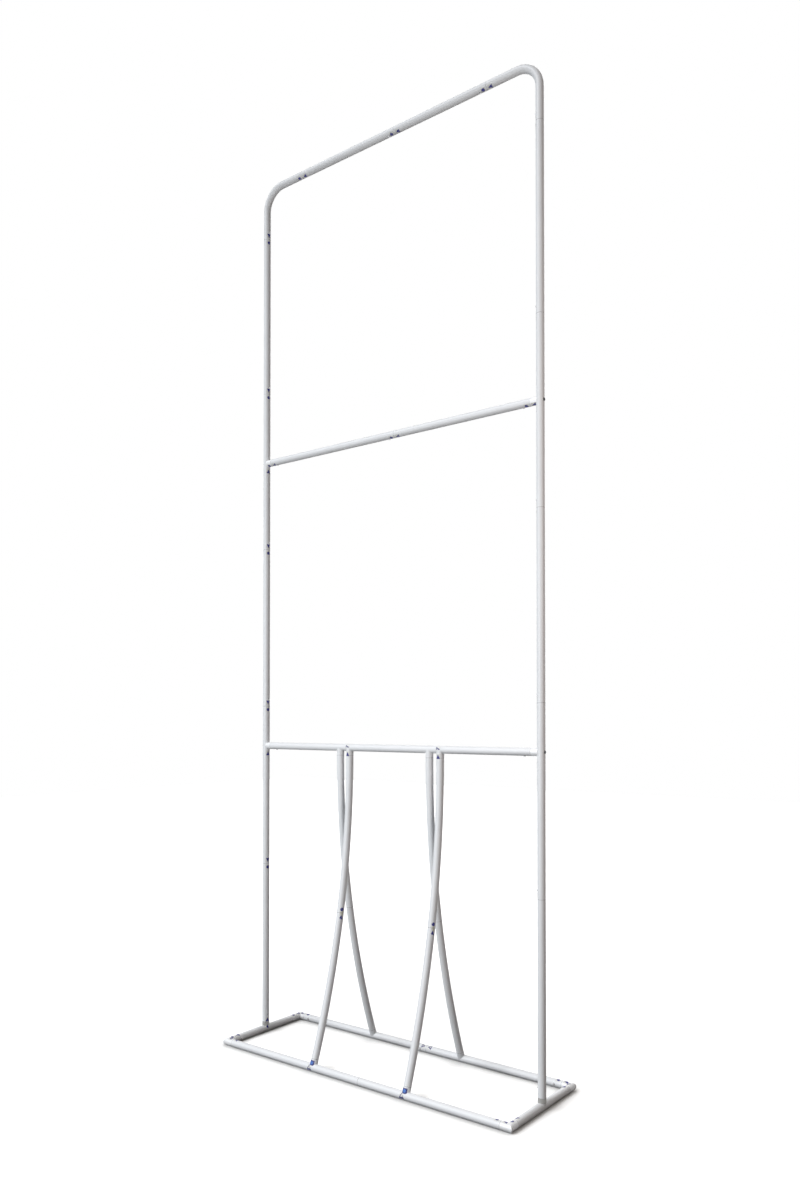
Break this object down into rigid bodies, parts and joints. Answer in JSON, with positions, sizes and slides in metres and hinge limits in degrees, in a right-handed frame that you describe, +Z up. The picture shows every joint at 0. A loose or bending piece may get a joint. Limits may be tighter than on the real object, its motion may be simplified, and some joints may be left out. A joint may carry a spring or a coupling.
{
  "type": "display totem frame",
  "caption": "Tall free-standing tubular aluminium totem frame with rounded top corners, crossbars and curved legs on a flat rectangular base, for a fabric graphic",
  "frame": {"origin": "on the floor under the middle of the base", "axes": "+X to the right along the width as seen from the front, +Y to the rear, +Z up"},
  "size_m": [1.5, 0.5, 4],
  "materials": {
    "tube": "satin anodised",
    "fitting": "satin anodised, welded",
    "button": "plain steel"
  },
  "bodies": {
    "frame": {"base_corners": "fitting", "base_front_bar_left": "tube", "base_front_bar_right": "tube", "base_left_bar": "tube", "base_rear_bar_left": "tube", "base_rear_bar_right": "tube", "base_right_bar": "tube", "crossbar_end_fittings": "fitting", "left_front_leg_lower": "tube", "left_front_leg_upper": "tube", "left_post_section_1": "tube", "left_post_section_2": "tube", "left_post_section_3": "tube", "left_post_section_4": "tube", "left_post_section_5": "tube", "left_rear_leg_lower": "tube", "left_rear_leg_upper": "tube", "low_bar": "tube", "mid_bar_left": "tube", "mid_bar_right": "tube", "right_front_leg_lower": "tube", "right_front_leg_upper": "tube", "right_post_section_1": "tube", "right_post_section_2": "tube", "right_post_section_3": "tube", "right_post_section_4": "tube", "right_post_section_5": "tube", "right_rear_leg_lower": "tube", "right_rear_leg_upper": "tube", "top_bar_left": "tube", "top_bar_right": "tube", "top_left_bend": "tube", "top_right_bend": "tube"},
    "base_front_bar_buttons": {"base_front_bar_buttons": "button"},
    "base_left_buttons": {"base_left_buttons": "button"},
    "base_rear_bar_buttons": {"base_rear_bar_buttons": "button"},
    "base_right_buttons": {"base_right_buttons": "button"},
    "left_post_buttons": {"left_post_buttons": "button"},
    "low_bar_buttons": {"low_bar_buttons": "button"},
    "mid_bar_buttons": {"mid_bar_buttons": "button"},
    "right_post_buttons": {"right_post_buttons": "button"},
    "top_bar_buttons": {"top_bar_buttons": "button"}
  },
  "joints": [
    {"name": "base_front_bar_button_press", "type": "slide", "parent": "frame", "child": "base_front_bar_buttons", "axis": [0, -1, 0], "range_m": [0, 0.0052], "stiffness_N_per_m": 900, "springref_m": -0.002},
    {"name": "base_left_button_press", "type": "slide", "parent": "frame", "child": "base_left_buttons", "axis": [-1, 0, 0], "range_m": [0, 0.0052], "stiffness_N_per_m": 900, "springref_m": -0.002},
    {"name": "base_rear_bar_button_press", "type": "slide", "parent": "frame", "child": "base_rear_bar_buttons", "axis": [0, 1, 0], "range_m": [0, 0.0052], "stiffness_N_per_m": 900, "springref_m": -0.002},
    {"name": "base_right_button_press", "type": "slide", "parent": "frame", "child": "base_right_buttons", "axis": [1, 0, 0], "range_m": [0, 0.0052], "stiffness_N_per_m": 900, "springref_m": -0.002},
    {"name": "left_post_button_press", "type": "slide", "parent": "frame", "child": "left_post_buttons", "axis": [-1, 0, 0], "range_m": [0, 0.0052], "stiffness_N_per_m": 900, "springref_m": -0.002},
    {"name": "low_bar_button_press", "type": "slide", "parent": "frame", "child": "low_bar_buttons", "axis": [0, 0, 1], "range_m": [0, 0.0052], "stiffness_N_per_m": 900, "springref_m": -0.002},
    {"name": "mid_bar_button_press", "type": "slide", "parent": "frame", "child": "mid_bar_buttons", "axis": [0, 0, 1], "range_m": [0, 0.0052], "stiffness_N_per_m": 900, "springref_m": -0.002},
    {"name": "right_post_button_press", "type": "slide", "parent": "frame", "child": "right_post_buttons", "axis": [1, 0, 0], "range_m": [0, 0.0052], "stiffness_N_per_m": 900, "springref_m": -0.002},
    {"name": "top_bar_button_press", "type": "slide", "parent": "frame", "child": "top_bar_buttons", "axis": [0, 0, 1], "range_m": [0, 0.0052], "stiffness_N_per_m": 900, "springref_m": -0.002}
  ]
}
